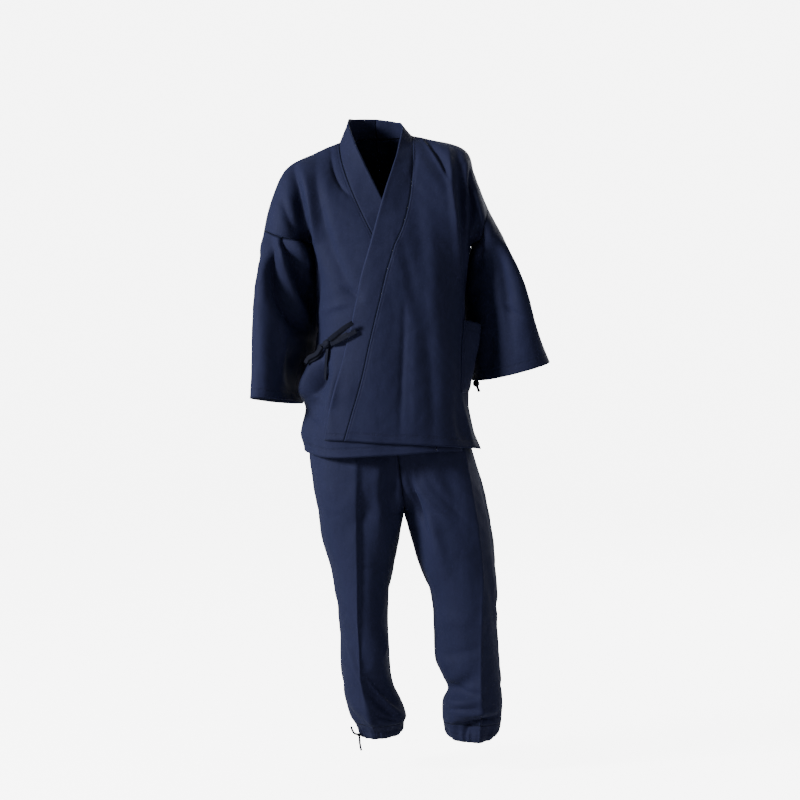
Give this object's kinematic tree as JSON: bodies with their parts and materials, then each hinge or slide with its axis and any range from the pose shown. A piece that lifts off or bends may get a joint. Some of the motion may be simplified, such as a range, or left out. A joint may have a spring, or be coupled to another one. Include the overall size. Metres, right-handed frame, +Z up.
{
  "type": "samue",
  "caption": "Two-piece samue work suit of plain navy cotton, worn form: wrapped jacket with wide sleeves, side bow and patch pocket, trousers with gathered hems.",
  "frame": {"origin": "midway between the two sides of the neck, where the wearer's shoulders hold the jacket", "axes": "+Z up, the front faces -Y, the wearer's left is +X"},
  "size_m": [0.687, 0.2969, 1.4549],
  "materials": {
    "navy_cotton": "plain weave, dull",
    "navy_band": "plain weave, doubled, dull",
    "navy_tape": "narrow sewn tape, dull",
    "navy_cord": "thin twisted cord, dull"
  },
  "bodies": {
    "root": {"body_right": "navy_cotton", "collar_right": "navy_band", "sleeve_right": "navy_cotton", "body_left": "navy_cotton", "collar_left": "navy_band", "sleeve_left": "navy_cotton", "pocket": "navy_cotton", "tie_front": "navy_tape", "tie_side": "navy_tape", "bow_loop_upper": "navy_tape", "bow_end_upper": "navy_tape", "bow_loop_lower": "navy_tape", "bow_end_lower": "navy_tape", "bow_knot": "navy_tape", "cuff_knot_left": "navy_cord", "cuff_knot_right": "navy_cord", "trousers_front_right": "navy_cotton", "trousers_back_right": "navy_cotton", "trousers_front_left": "navy_cotton", "trousers_back_left": "navy_cotton", "hem_casing_right": "navy_band", "hem_casing_left": "navy_band", "waistband": "navy_band", "hem_knot_right": "navy_cord", "hem_cord_right_upper": "navy_cord", "hem_cord_right_lower": "navy_cord", "hem_knot_left": "navy_cord", "hem_cord_left_upper": "navy_cord", "hem_cord_left_lower": "navy_cord"}
  },
  "joints": []
}
